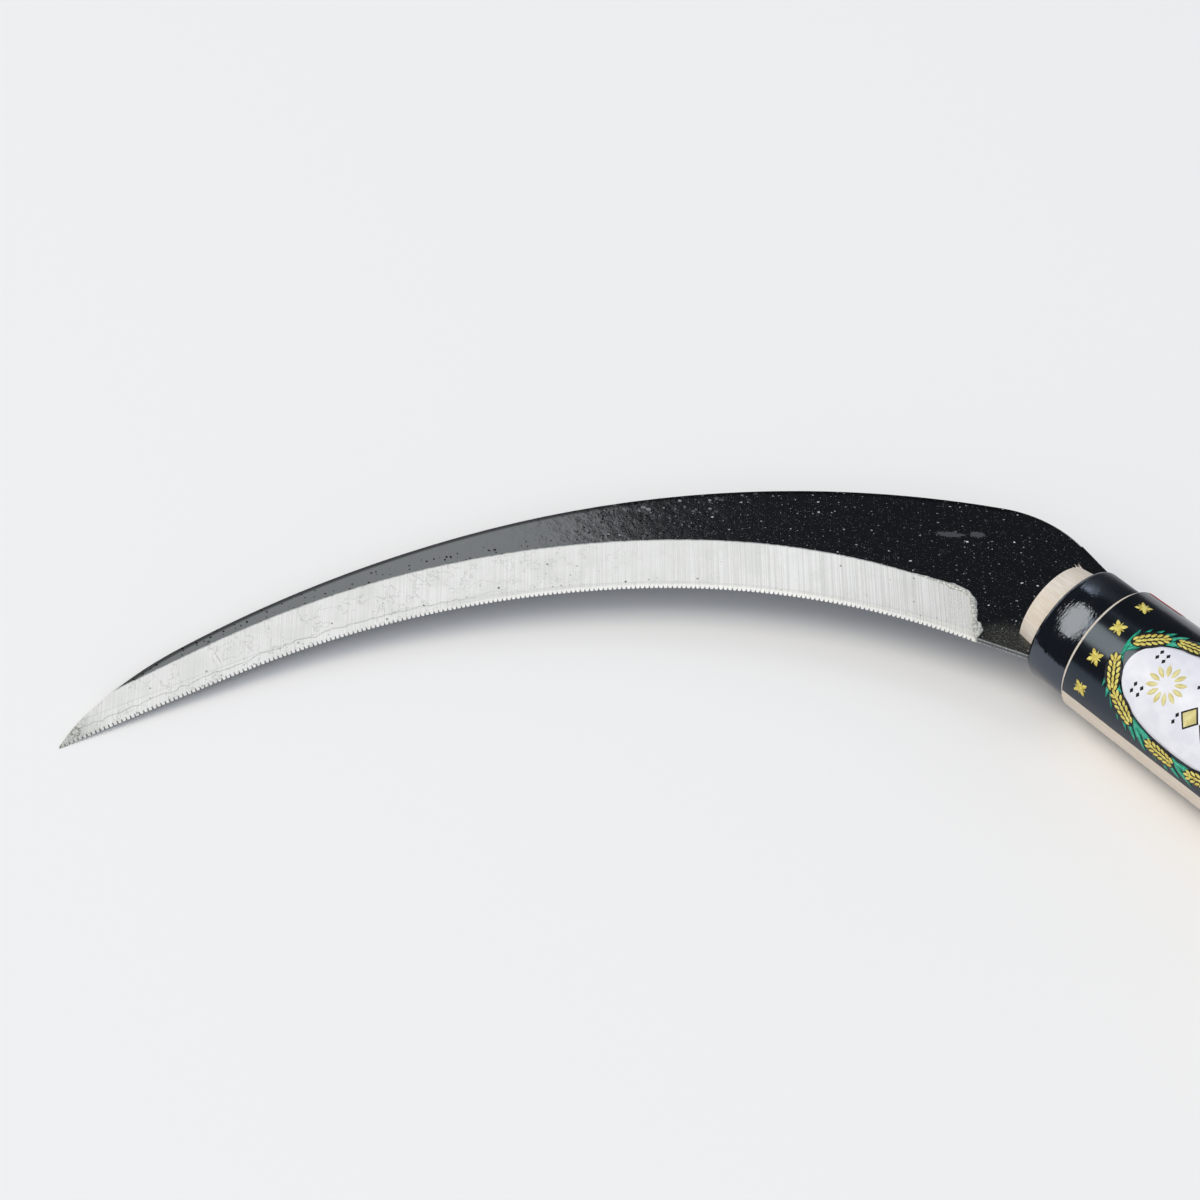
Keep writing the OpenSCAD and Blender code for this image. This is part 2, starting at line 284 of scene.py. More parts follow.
def past_line(tree, flat, p, turn=0.0):
    """Distance in mm to the left of the line through p with p's heading plus turn: n.x - n.p,
    where n = (-sin h, cos h)."""
    h = math.radians(p[2] + turn)
    normal = (-math.sin(h), math.cos(h), 0)
    reach = put(tree, "VectorMath", [flat, normal], 1, operation="DOT_PRODUCT")
    return put(tree, "Math", [reach, p[0] * normal[0] + p[1] * normal[1]], operation="SUBTRACT")


def past_start(tree, flat, p):
    """1 beyond the place where an arc begins, 0 before it."""
    return put(tree, "Math", [past_line(tree, flat, p, -90), 0.0], operation="GREATER_THAN")


def centre_of(p, r):
    """Centre of an arc that bends left: r to the left of its start."""
    h = math.radians(p[2])
    return p[0] - r * math.sin(h), p[1] + r * math.cos(h), 0


def past_arcs(tree, flat, line):
    """Distance in mm to the right of a line of arcs that bend left: |p - centre| - r of the first
    arc, and of each later one beyond the place where it begins."""
    gap = None
    for p, r in line:
        far = put(tree, "VectorMath", [flat, centre_of(p, r)], 1, operation="DISTANCE")
        here = put(tree, "Math", [far, r], operation="SUBTRACT")
        if gap is not None:
            here = put(tree, "Mix", [past_start(tree, flat, p), None, gap, here])
        gap = here
    return gap


def along_arcs(tree, flat, line):
    """Length in mm along a line of arcs that bend left: r (atan2(y, x) - heading + 90 degrees)
    about each arc's centre, added to the lengths of the arcs before it."""
    length, before = None, 0.0
    for i, (p, r) in enumerate(line):
        spoke = put(tree, "VectorMath", [flat, centre_of(p, r)], operation="SUBTRACT")
        spoke = put(tree, "SeparateXYZ", [spoke]).node.outputs
        angle = put(tree, "Math", [spoke[1], spoke[0]], operation="ARCTAN2")
        start = before - r * (math.radians(p[2]) - math.pi / 2)
        here = put(tree, "Math", [angle, r, start], operation="MULTIPLY_ADD")
        if length is not None:
            here = put(tree, "Mix", [past_start(tree, flat, p), None, length, here])
        length = here
        if i + 1 < len(line):
            before += r * math.radians(line[i + 1][0][2] - p[2])
    return length


def line_where(tree, value, at, sharp, soft, strength):
    """A line where a value passes at: strength while |value - at| is under sharp, 0 over soft."""
    off = put(tree, "Math", [value, at], operation="SUBTRACT")
    off = put(tree, "Math", [off], operation="ABSOLUTE")
    return put(tree, "MapRange", [off, sharp, soft, strength, 0], **SMOOTH)


def in_oval(tree, flat, middle, lean, half_long, half_wide):
    """0 at the middle of an oval on the blade, 1 on its rim and more outside. lean is its turn in
    degrees: the point is centred, turned and divided by the half axes, and its length is taken."""
    turn = (0, 0, math.radians(lean))
    oval = {"Location": (*middle, 0), "Rotation": turn, "Scale": (half_long, half_wide, 1)}
    centred = put(tree, "Mapping", {"Vector": flat, **oval}, vector_type="TEXTURE")
    return put(tree, "VectorMath", [centred], 1, operation="LENGTH")


def specks(tree, flat, cell, radius, share, long=1.0, lean=48.0, rim=0.2):
    """Brightness of scattered specks, 0 between them. There is one in each cell of that size in
    mm, in a share of the cells, of a random size up to radius and a random brightness. rim is the
    part of the radius over which a speck rises: 1 makes a dome of it."""
    widest = radius / cell
    stretch = {"Rotation": (0, 0, math.radians(lean)), "Scale": (cell * long, cell, 1)}
    spread = put(tree, "Mapping", {"Vector": flat, **stretch}, vector_type="TEXTURE")
    gap = put(tree, "TexVoronoi", {"Vector": spread, "Scale": 1.0}, voronoi_dimensions="2D")
    dice = put(tree, "SeparateColor", [gap.node.outputs["Color"]]).node.outputs
    reach = put(tree, "MapRange", [dice[1], 0, 1, 0.3 * widest, widest])
    depth = put(tree, "Math", [reach, gap], operation="SUBTRACT")
    spot = put(tree, "MapRange", [depth, -0.15 * widest, rim * widest, 0, 1], **SMOOTH)
    there = put(tree, "Math", [dice[0], share], operation="LESS_THAN")
    spot = put(tree, "Math", [spot, there], operation="MULTIPLY")
    light = put(tree, "MapRange", [dice[2], 0, 1, 0.2, 1.0])
    return put(tree, "Math", [spot, light], operation="MULTIPLY")


# %% [markdown]
# ## Which part of the blade has which finish
# The plate was dipped in black lacquer and then held against a wheel, which cut the band along
# the teeth back to bare steel. Both finishes are one material, because they are one surface:
# masks from the arcs decide how much of each a point gets. A face's own direction tells the
# upper side from the walls and from the grooves of the teeth underneath, which are bare too.

# %% Masks of the blade
steel, tree = new_finish("black_lacquer_and_ground_steel")
place, flat = blade_place(tree)
u, v, w = put(tree, "SeparateXYZ", [place]).node.outputs
edge_gap = past_arcs(tree, flat, EDGE)
border_gap = past_arcs(tree, flat, BORDER)
last_gap = past_line(tree, flat, WHEEL_STOP)
back_gap = past_arcs(tree, flat, BACK)
face = put(tree, "NewGeometry", out="True Normal")
upward = put(tree, "SeparateXYZ", [face], 2)

# The band is round at the heel, and the lacquer wanders along it by less than 0.1 mm.
wander = put(tree, "TexNoise", {"Vector": flat, "Scale": 0.9, "Detail": 3.0})
wander = put(tree, "MapRange", [wander, 0.3, 0.7, -0.07, 0.07])
inside = put(tree, "Math", [border_gap, -1.0], operation="MULTIPLY")
inside = put(tree, "Math", [inside, last_gap, 3.5], operation="SMOOTH_MIN")
inside = put(tree, "Math", [inside, wander], operation="ADD")

faces_up = put(tree, "Math", [upward, 0.3], operation="GREATER_THAN")
not_under = put(tree, "Math", [upward, -0.2], operation="GREATER_THAN")
band = put(tree, "MapRange", [inside, -0.04, 0.06, 0, 1], **SMOOTH)
band = put(tree, "Math", [band, not_under], operation="MULTIPLY")
grooves = put(tree, "Math", [upward, -0.62, 0.25], operation="COMPARE")
bare = put(tree, "Math", [band, grooves], operation="MAXIMUM")

base_wall = put(tree, "Math", [upward, 0.0, 0.3], operation="COMPARE")
before_heel = put(tree, "Math", [u, HEEL[0]], operation="LESS_THAN")
front_side = put(tree, "Math", [v, 8.0], operation="GREATER_THAN")
base_wall = put(tree, "Math", [base_wall, before_heel], operation="MULTIPLY")
base_wall = put(tree, "Math", [base_wall, front_side], operation="MULTIPLY")
print("the masks are made of", len(tree.nodes), "nodes")

# %% Where the bevel begins
BAND_SLOPE, EDGE_SLOPE = math.radians(5.7), math.radians(18)
EDGE_THICK = 0.13  # of the steel at the teeth
to_bevel = math.tan(BAND_SLOPE) / math.tan(EDGE_SLOPE)
bevel_reach = (2 * TOP - EDGE_THICK) / math.tan(EDGE_SLOPE)
bevel_gap = put(tree, "Math", [border_gap, to_bevel, bevel_reach], operation="MULTIPLY_ADD")
bevel_gap = put(tree, "Math", [bevel_gap, edge_gap], operation="SUBTRACT")
print("the bevel is", round(bevel_reach - BAND_HEEL * to_bevel, 2), "mm wide at the heel")

# %% [markdown]
# ## Ground steel
# The wheel leaves fine parallel lines across the band. On the real tool they are finer than the
# picture can show, so they are drawn about half a millimetre apart. The steel looks pale and
# almost matt, because the scratches throw the light every way. Toward the heel the lines are
# stronger, and the last few millimetres there are rubbed smooth and a little grey. Small pits
# stand all over the band, and more of them along the teeth. Broad faint clouds and a few thin
# wandering marks come from water that dried on the steel.

# %% Lines of the wheel
LINES = (0, 0, math.radians(-GRIND))
LINE_WIDE = 0.3  # mm
finer = {"Rotation": LINES, "Scale": (26, LINE_WIDE, 1)}
finer = put(tree, "Mapping", {"Vector": flat, **finer}, vector_type="TEXTURE")
finer = put(tree, "TexNoise", {"Vector": finer, "Scale": 1.0, "Detail": 3.0, "Roughness": 0.6})
finer = put(tree, "MapRange", [finer, 0.3, 0.7, 0.0, 1.0])
broader = {"Rotation": LINES, "Scale": (40, LINE_WIDE, 1)}
broader = put(tree, "Mapping", {"Vector": flat, **broader}, vector_type="TEXTURE")
broader = put(tree, "TexNoise", {"Vector": broader, "Scale": 1.0, "Detail": 0.0})
broader = put(tree, "MapRange", [broader, 0.3, 0.7, -0.5, 0.5])
near_heel = put(tree, "MapRange", [u, 80.0, 35.0, 0.15, 1.2], **SMOOTH)
rubbed = put(tree, "MapRange", [last_gap, 0.8, 3.0, 0.3, 1.0], **SMOOTH)
wheel = put(tree, "Math", [broader, near_heel, finer], operation="MULTIPLY_ADD")
wheel = put(tree, "Math", [wheel, rubbed], operation="MULTIPLY")
print("the wheel's lines lean back by", GRIND, "degrees")

# %% Clouds, marks, worn heel and pits
cloud = put(tree, "TexNoise", {"Vector": flat, "Scale": 0.16, "Detail": 4.0})
cloud = put(tree, "MapRange", [cloud, 0.4, 0.72, 0, 0.4], **SMOOTH)
mark = put(tree, "TexNoise", {"Vector": flat, "Scale": 0.13, "Detail": 5.0, "Roughness": 0.62})
mark = put(tree, "Math", [mark, 0.52, 0.007], operation="COMPARE")
mark_strength = put(tree, "MapRange", [u, 70.0, 95.0, 0.06, 0.3])
mark = put(tree, "Math", [mark, mark_strength], operation="MULTIPLY")
grain = put(tree, "TexNoise", {"Vector": flat, "Scale": 2.6, "Detail": 3.0, "Roughness": 0.7})
worn = put(tree, "Math", [last_gap, 6.0], operation="LESS_THAN")
worn = put(tree, "MapRange", [worn, 0, 1, 0.1, 0.4])
worn_grain = put(tree, "MapRange", [grain, 0.45, 0.7, 0, 1])
worn = put(tree, "Math", [worn, worn_grain], operation="MULTIPLY")
near_teeth = put(tree, "MapRange", [edge_gap, 4.5, 1.0, 0, 0.7], **SMOOTH)
crumbs = specks(tree, flat, 1.7, 0.3, 0.22, lean=70.0)
crumbs = put(tree, "Math", [crumbs, near_teeth], operation="MULTIPLY")
pits = put(tree, "Math", [specks(tree, flat, 5.0, 0.28, 0.35), crumbs], operation="MAXIMUM")

tone = put(tree, "Mix", {0: wheel, 6: paint("#eeece7"), 7: paint("#fffdf9")}, **TINT)
for mask, code in ((cloud, "#e2e1da"), (mark, "#8f908a"), (worn, "#b3b2a8"), (pits, "#6a6b62")):
    tone = put(tree, "Mix", {0: mask, 6: tone, 7: paint(code)}, **TINT)
print("the ground steel is made of", len(tree.nodes), "nodes so far")

# %% [markdown]
# The outer half millimetre of the bevel along the teeth gets a painted highlight, the brightest
# line of the tool. The rest of the bevel, away from the tip, gets a little painted shade, with a
# thin grey seam where it meets the band. Near the tip a second seam runs beside it in waves. Each
# gap between two teeth gets painted shade, most of all near the tip, for the shadow that shows
# through the gaps. A grey line runs along the lacquer, where its edge feathered out. The very tip
# is duller and flecked with grey, and a drop dried on it as a broken ring. Toward the heel the
# band gets a little painted shade.

# %% Bevel and seams
off_tip = put(tree, "MapRange", [u, 102.0, 84.0, 0.0, 1.0], **SMOOTH)
# Painted shade: away from the tip the bevel is mixed 0.4 of the way to a darker grey.
bevel = put(tree, "MapRange", [bevel_gap, -0.1, 0.15, 0, 0.4], **SMOOTH)
bevel = put(tree, "Math", [bevel, off_tip], operation="MULTIPLY")
# Painted highlight: the steel within about a millimetre of the teeth, ragged by the grain, is mixed
# to near white.
ragged_reach = put(tree, "Math", [grain, 0.9, edge_gap], operation="MULTIPLY_ADD")
edge_highlight = put(tree, "MapRange", [ragged_reach, 1.35, 1.05, 0, 1], **SMOOTH)
edge_highlight = put(tree, "Math", [edge_highlight, off_tip], operation="MULTIPLY")
seam = line_where(tree, bevel_gap, 0.0, 0.0, 0.2, 0.16)
drift = put(tree, "TexNoise", {"Vector": flat, "Scale": 0.3, "Detail": 4.0})
drift = put(tree, "Math", [drift, 2.4, edge_gap], operation="MULTIPLY_ADD")
wavy = line_where(tree, drift, 3.2, 0.0, 0.18, 0.5)
near_tip = put(tree, "MapRange", [u, 84, 94, 0, 1])
wavy = put(tree, "Math", [wavy, near_tip], operation="MULTIPLY")
feather = put(tree, "MapRange", [inside, 0.05, 0.42, 0.75, 0], **SMOOTH)
layers = [(bevel, "#cfcec8"), (edge_highlight, "#fbf9f4"), (seam, "#9b9c96")]
for mask, code in (*layers, (wavy, "#8f908a"), (feather, "#8c8e8d")):
    tone = put(tree, "Mix", {0: mask, 6: tone, 7: paint(code)}, **TINT)
print("with its bevel and seams it is made of", len(tree.nodes), "nodes")

# %% Tip and teeth
RING_MIDDLE, RING_R = (120.95, 161.6, 0), 0.85  # of the dried drop
dull = put(tree, "MapRange", [v, 152.0, 166.0, 0, 0.55], **SMOOTH)
flecked = put(tree, "MapRange", [grain, 0.5, 0.66, 0, 1.0])
very_tip = put(tree, "MapRange", [v, 159.0, 163.0, 0, 0.7])
flecked = put(tree, "Math", [flecked, very_tip], operation="MULTIPLY")
ring = put(tree, "VectorMath", [flat, RING_MIDDLE], 1, operation="DISTANCE")
ring = line_where(tree, ring, RING_R, 0.1, 0.4, 0.9)
broken = put(tree, "MapRange", [grain, 0.35, 0.6, 0.15, 1])
ring = put(tree, "Math", [ring, broken], operation="MULTIPLY")

along_edge = along_arcs(tree, flat, EDGE)
TOOTH_PITCH = 0.95  # gap to gap along the edge
per_mm = 2 * math.pi / TOOTH_PITCH
phase = put(tree, "Math", [along_edge, per_mm, -math.pi], operation="MULTIPLY_ADD")
phase = put(tree, "Math", [phase], operation="COSINE")
# Painted shade in each gap between two teeth, strongest toward the tip: it stands in for the shadow
# that shows through the gaps.
painted_gap_shade = put(tree, "MapRange", [phase, 0.2, 0.9, 0, 1], **SMOOTH)
at_edge = put(tree, "MapRange", [edge_gap, 0.75, 0.35, 0, 1], **SMOOTH)
painted_gap_shade = put(tree, "Math", [painted_gap_shade, at_edge], operation="MULTIPLY")
toward_tip = put(tree, "MapRange", [u, 84, 114, 0.2, 0.95])
uneven = put(tree, "MapRange", [grain, 0.38, 0.6, 0.3, 1.15])
uneven = put(tree, "Math", [toward_tip, uneven], operation="MULTIPLY")
painted_gap_shade = put(tree, "Math", [painted_gap_shade, uneven], operation="MULTIPLY")

# The last of these colours is the painted shade in the gaps between the teeth.
for mask, code in ((dull, "#a3a497"), (flecked, "#4c4d46"), (ring, "#74756c"), (painted_gap_shade, "#3f4042")):
    tone = put(tree, "Mix", {0: mask, 6: tone, 7: paint(code)}, **TINT)
# Painted shade: toward the heel the band is made up to 14 percent darker.
shade = put(tree, "MapRange", [u, 18.0, 55.0, 0.86, 1.0], **SMOOTH)
ground_steel = put(tree, "Mix", {0: 1.0, 6: tone, 7: shade}, blend_type="MULTIPLY", **TINT)
print("the gaps between the teeth are", TOOTH_PITCH, "mm apart")

# %% [markdown]
# ## Lacquer
# Dipped lacquer dries glossy, so it mirrors the strip. Dust settled in it while it was wet, most
# of it toward the handle: a few large flakes, more small specks and a fine grain between them.
# About the middle lies a field of grey flecks. Where the lacquer meets the nose of the handle it
# is rubbed to a dull olive grey, and there are two smears of grey near the spine.

# %% Dust in the lacquer
loosen = put(tree, "TexNoise", {"Vector": flat, "Scale": 2.2, "Detail": 2.0}, "Color")
loose = put(tree, "VectorMath", [loosen, (0.5, 0.5, 0), flat], operation="MULTIPLY_ADD")
dusty = put(tree, "MapRange", [u, 90.0, 74.0, 0.12, 1.0], **SMOOTH)
haze = put(tree, "MapRange", [specks(tree, loose, 0.45, 0.12, 0.5), 0, 1, 0, 0.09])
small = specks(tree, loose, 1.3, 0.13, 0.42, 1.3)
small = put(tree, "Math", [small, 0.5], operation="MULTIPLY")
large = specks(tree, loose, 3.6, 0.2, 0.6, 1.5, 38.0)
dust = put(tree, "Math", [haze, small], operation="MAXIMUM")
dust = put(tree, "Math", [dust, large], operation="MAXIMUM")
dust = put(tree, "Math", [dust, dusty], operation="MULTIPLY")

# %% Flecks, rub and smears
fleck = specks(tree, loose, 1.9, 0.42, 0.75, 1.4, 25.0)
fleck_field = in_oval(tree, flat, (79.0, 33.0), 52, 17.0, 5.0)
fleck_field = put(tree, "MapRange", [fleck_field, 1.1, 0.5, 0, 0.95], **SMOOTH)
fleck = put(tree, "Math", [fleck, fleck_field], operation="MULTIPLY")
rub = in_oval(tree, flat, (5.0, 13.0), 30, 9.0, 6.0)
rub = put(tree, "MapRange", [rub, 1.0, 0.35, 0, 1], **SMOOTH)
streaks = {"Rotation": (0, 0, 0.35), "Scale": (0.5, 0.25, 1)}
streaks = put(tree, "Mapping", {"Vector": flat, **streaks}, vector_type="TEXTURE")
streaks = put(tree, "TexNoise", {"Vector": streaks, "Scale": 1.0, "Detail": 4.0, "Roughness": 0.75})
streaks = put(tree, "MapRange", [streaks, 0.42, 0.72, 0, 0.5])
rub = put(tree, "Math", [rub, streaks], operation="MULTIPLY")
layers = [(dust, "#dfe3e4"), (fleck, "#8e9194"), (rub, "#787768")]
SMEARS = (((33.4, 1.1), 38, 2.9, 0.7), ((29.5, -2.7), 42, 1.6, 0.7))  # middle, lean, half axes
torn = put(tree, "TexNoise", {"Vector": flat, "Scale": 1.7, "Detail": 4.0})
for oval in SMEARS:
    smear = put(tree, "Math", [torn, 1.6, in_oval(tree, loose, *oval)], operation="MULTIPLY_ADD")
    layers.append((put(tree, "MapRange", [smear, 1.95, 1.65, 0, 0.85], **SMOOTH), "#4e5053"))
lacquer = paint("#0b0c0e")
for mask, code in layers:
    lacquer = put(tree, "Mix", {0: mask, 6: lacquer, 7: paint(code)}, **TINT)
print("over the black lacquer lie", len(layers), "layers of dust and wear")

# %% [markdown]
# The lower wall of the plate between heel and handle is coloured grey, with two paler lines
# along its corners.

# %% Grey wall
from_middle = put(tree, "Math", [w], operation="ABSOLUTE")
corner_line = line_where(tree, from_middle, 0.55, 0.05, 0.3, 1)
patchy = put(tree, "MapRange", [grain, 0.4, 0.65, 0.25, 0.9])
corner_line = put(tree, "Math", [corner_line, patchy], operation="MULTIPLY")
wall = put(tree, "Mix", {0: corner_line, 6: paint("#3d3f41"), 7: paint("#b9bbbc")}, **TINT)
skin = put(tree, "Mix", {0: base_wall, 6: lacquer, 7: wall}, **TINT)
blade_colour = put(tree, "Mix", {0: bare, 6: skin, 7: ground_steel}, **TINT)
print("the blade's colour is made of", len(tree.nodes), "nodes")

# %% [markdown]
# ## The blade's relief
# Bump gives what is too small for the solid: the wheel's lines, the slow waves of dried lacquer,
# and the drops that stand on it about the middle. In the mirror of the strip a drop shows dark,
# and beside it light, as drops do. The waves also make the end of that mirror ragged. Along the
# back the lacquer drew away from the corner as it dried, so that a line there mirrors nothing.

# %% Relief and the finished blade
drop_field = in_oval(tree, flat, (80.0, 44.0), 62, 16.0, 8.0)
drop_field = put(tree, "MapRange", [drop_field, 1.1, 0.3, 0, 1], **SMOOTH)
near_border = put(tree, "MapRange", [border_gap, 3.2, 1.6, 0, 1], **SMOOTH)
far_out = put(tree, "MapRange", [u, 88.0, 96.0, 0, 1], **SMOOTH)
near_border = put(tree, "Math", [near_border, far_out], operation="MULTIPLY")
drop_places = put(tree, "Math", [drop_field, near_border], operation="MAXIMUM")
drops = specks(tree, loose, 1.3, 0.27, 0.5, rim=1.0)
drops = put(tree, "Math", [drops, drop_places], operation="MULTIPLY")
lumps = specks(tree, loose, 2.4, 0.45, 0.6, 1.3, rim=1.0)
lumps = put(tree, "Math", [lumps, drop_field], operation="MULTIPLY")
drops = put(tree, "Math", [drops, lumps], operation="MAXIMUM")
waves = put(tree, "TexNoise", {"Vector": flat, "Scale": 0.4, "Detail": 3.0, "Roughness": 0.6})
dried = put(tree, "Math", [dust, 0.5], operation="MULTIPLY")
dried = put(tree, "Math", [drops, 3.5, dried], operation="MULTIPLY_ADD")
dried = put(tree, "Math", [waves, 0.5, dried], operation="MULTIPLY_ADD")
scratched = put(tree, "Math", [grain, 0.25], operation="MULTIPLY")
scratched = put(tree, "Math", [wheel, 0.35, scratched], operation="MULTIPLY_ADD")
relief = put(tree, "Mix", [bare, None, dried, scratched])
bump = {"Strength": 1.0, "Distance": 0.05 * MM, "Height": relief, "Normal": face}

matt = put(tree, "MapRange", [back_gap, -1.6, -0.9, 0.0, 1.0], **SMOOTH)
matt = put(tree, "Math", [matt, faces_up], operation="MULTIPLY")
matt = put(tree, "Math", [matt, bare], operation="SUBTRACT", use_clamp=True)
lacquer_rough = put(tree, "MapRange", [dust, 0, 1, 0.1, 0.6])
lacquer_rough = put(tree, "Math", [rub, 0.8, lacquer_rough], operation="MULTIPLY_ADD")
blade_shader = {
    "Base Color": blade_colour,
    "Metallic": put(tree, "MapRange", [bare, 0, 1, 0.0, 0.2]),
    "Roughness": put(tree, "Mix", [bare, None, lacquer_rough, 0.5]),
    "Normal": put(tree, "Bump", bump),
    "IOR": put(tree, "MapRange", [bare, 0, 1, 1.7, 1.5]),
    "Specular IOR Level": put(tree, "Math", [matt, -0.38, 0.5], operation="MULTIPLY_ADD"),
}
put(tree, "OutputMaterial", [put(tree, "BsdfPrincipled", blade_shader)])
coat("blade", steel)

# %% [markdown]
# ## The handle
# The handle is pale wood, turned on a lathe and left bare. Its grain runs along the axis, so the
# side shows fine fibres, about 9 mm long and three quarters of a millimetre wide, and the cut
# ends show pores. The lathe leaves faint rings, about half a millimetre apart.

# %% Bare turned wood
wood, tree = new_finish("bare_turned_wood")
place = place_in_mm(tree)
fibre = put(tree, "Mapping", {"Vector": place, "Scale": (0.11, 1.3, 1.3)})
fibre = put(tree, "TexNoise", {"Vector": fibre, "Scale": 1.0, "Detail": 4.0, "Roughness": 0.65})
broad = {"Scale": (0.009, 0.17, 0.17), "Location": (0, 3, 1)}
broad = put(tree, "Mapping", {"Vector": place, **broad})
broad = put(tree, "TexNoise", {"Vector": broad, "Scale": 1.0, "Detail": 2.0})
lathe = put(tree, "SeparateXYZ", [place], 0)
lathe = put(tree, "Math", [lathe, 1.8], operation="MULTIPLY")
lathe = put(tree, "TexNoise", {"W": lathe, "Detail": 1.0}, noise_dimensions="1D")
fibres = put(tree, "MapRange", [fibre, 0.35, 0.7, 0, 1], **SMOOTH)
bands = put(tree, "MapRange", [broad, 0.42, 0.66, 0, 0.3], **SMOOTH)
rings = put(tree, "MapRange", [lathe, 0.5, 0.75, 0, 0.2], **SMOOTH)
tone = paint("#ddcfbe")
for mask, code in ((fibres, "#ebe1d6"), (bands, "#dccaae"), (rings, "#bfae95")):
    tone = put(tree, "Mix", {0: mask, 6: tone, 7: paint(code)}, **TINT)
cut = put(tree, "Math", [lathe, 0.5, fibre], operation="MULTIPLY_ADD")
bump = put(tree, "Bump", {"Strength": 0.6, "Distance": 0.08 * MM, "Height": cut})
wood_shader = {"Base Color": tone, "Roughness": 0.62, "Specular IOR Level": 0.3, "Normal": bump}
put(tree, "OutputMaterial", [put(tree, "BsdfPrincipled", wood_shader)])
coat("handle", wood)

# %% [markdown]
# ## Ferrule and nail
# The ferrule is a short steel tube with thick black enamel. Before it set, the enamel drew
# together toward the middle of the ring, so the ring is a little like a barrel, and the softbox
# shows in it as one round spot instead of as a long streak. A parabola along the axis gives that
# shape, and a second one across the spot makes the ring a little flatter there. Fine ridges round
# the ring make the rim of the spot ragged. The nail is plain bright steel, and it lies hidden in
# the wood.

# %% Black enamel and bright steel
SHOULDER_X = 106.0  # front of the wood's full width, on the handle's axis
BARREL_X = SHOULDER_X + 4.6  # where the enamel is thickest
SPOT_ACROSS, SPOT_AT = (0, -0.85, 0.53), -3.2  # the way across the spot, and its middle in mm
enamel, tree = new_finish("black_enamel_on_steel")
place = place_in_mm(tree)
barrel = put(tree, "SeparateXYZ", [place], 0)
barrel = put(tree, "Math", [barrel, BARREL_X], operation="SUBTRACT")
barrel = put(tree, "Math", [barrel, barrel], operation="MULTIPLY")
across_spot = put(tree, "VectorMath", [place, SPOT_ACROSS], 1, operation="DOT_PRODUCT")
flatter = put(tree, "Math", [across_spot, SPOT_AT], operation="SUBTRACT")
flatter = put(tree, "Math", [flatter, flatter], operation="MULTIPLY")
flatter = put(tree, "Math", [flatter, 0.015], operation="MULTIPLY")
ridges = put(tree, "Mapping", {"Vector": place, "Scale": (2.4, 0.9, 0.9)})
ridges = put(tree, "TexNoise", {"Vector": ridges, "Scale": 1.0, "Detail": 2.0})
runs = put(tree, "TexNoise", {"Vector": place, "Scale": 0.26, "Detail": 2.0})
height = put(tree, "Math", [barrel, -0.028, flatter], operation="MULTIPLY_ADD")
height = put(tree, "Math", [ridges, 0.045, height], operation="MULTIPLY_ADD")
height = put(tree, "Math", [runs, 0.05, height], operation="MULTIPLY_ADD")
cloudy = put(tree, "MapRange", [runs, 0.35, 0.65, 0.06, 0.12])
dusty_top = put(tree, "MapRange", [across_spot, 5.0, 8.5, 0.0, 0.3], **SMOOTH)
enamel_shader = {
    "Base Color": put(tree, "Mix", {0: runs, 6: paint("#050607"), 7: paint("#0a0b0d")}, **TINT),
    "Roughness": put(tree, "Math", [cloudy, dusty_top], operation="ADD"),
    "IOR": 2.02,
    "Specular Tint": (0.7, 0.8, 1.0, 1),
    "Normal": put(tree, "Bump", {"Strength": 1.0, "Distance": MM, "Height": height}),
}
put(tree, "OutputMaterial", [put(tree, "BsdfPrincipled", enamel_shader)])
coat("ferrule", enamel)

bright, tree = new_finish("bright_drawn_steel")
drawn = put(tree, "TexNoise", {"Vector": place_in_mm(tree), "Scale": 1.5, "Detail": 3.0})
tone = put(tree, "Mix", {0: drawn, 6: paint("#8d9094"), 7: paint("#b8babd")}, **TINT)
nail_shader = {"Base Color": tone, "Metallic": 1.0, "Roughness": 0.35}
put(tree, "OutputMaterial", [put(tree, "BsdfPrincipled", nail_shader)])
coat("tang_pin", bright)

# %% [markdown]
# ## The label
# The label is a thin film, printed and then wrapped round the wood. The film itself is the black
# ground of the print, glossy, with the slow ripples of something stuck on by hand.

# %% Label film


def film_ripples(tree, place):
    """The slow waves of something stuck on by hand, and the bump that they make in its gloss."""
    waves = put(tree, "TexNoise", {"Vector": place, "Scale": 0.15, "Detail": 2.0})
    return waves, put(tree, "Bump", {"Strength": 0.5, "Distance": 0.15 * MM, "Height": waves})


film, tree = new_finish("printed_gloss_film")
ripple, bump = film_ripples(tree, place_in_mm(tree))
film_shader = {
    "Base Color": put(tree, "Mix", {0: ripple, 6: paint("#090a0c"), 7: paint("#101115")}, **TINT),
    "Roughness": 0.2,
    "Specular IOR Level": 0.8,
    "Specular Tint": (0.63, 0.78, 1.0, 1),
    "Normal": bump,
}
put(tree, "OutputMaterial", [put(tree, "BsdfPrincipled", film_shader)])
coat("label", film)

# %% [markdown]
# ## Surfaces as grids
# Every new piece is a grid of points that a formula gives, all at once. One function turns such
# grids into a mesh: neighbours on the grid make the faces. A sheet is left open and then gets a
# thickness, and a bead is closed round and capped at its two ends.

# %% From grids to a piece


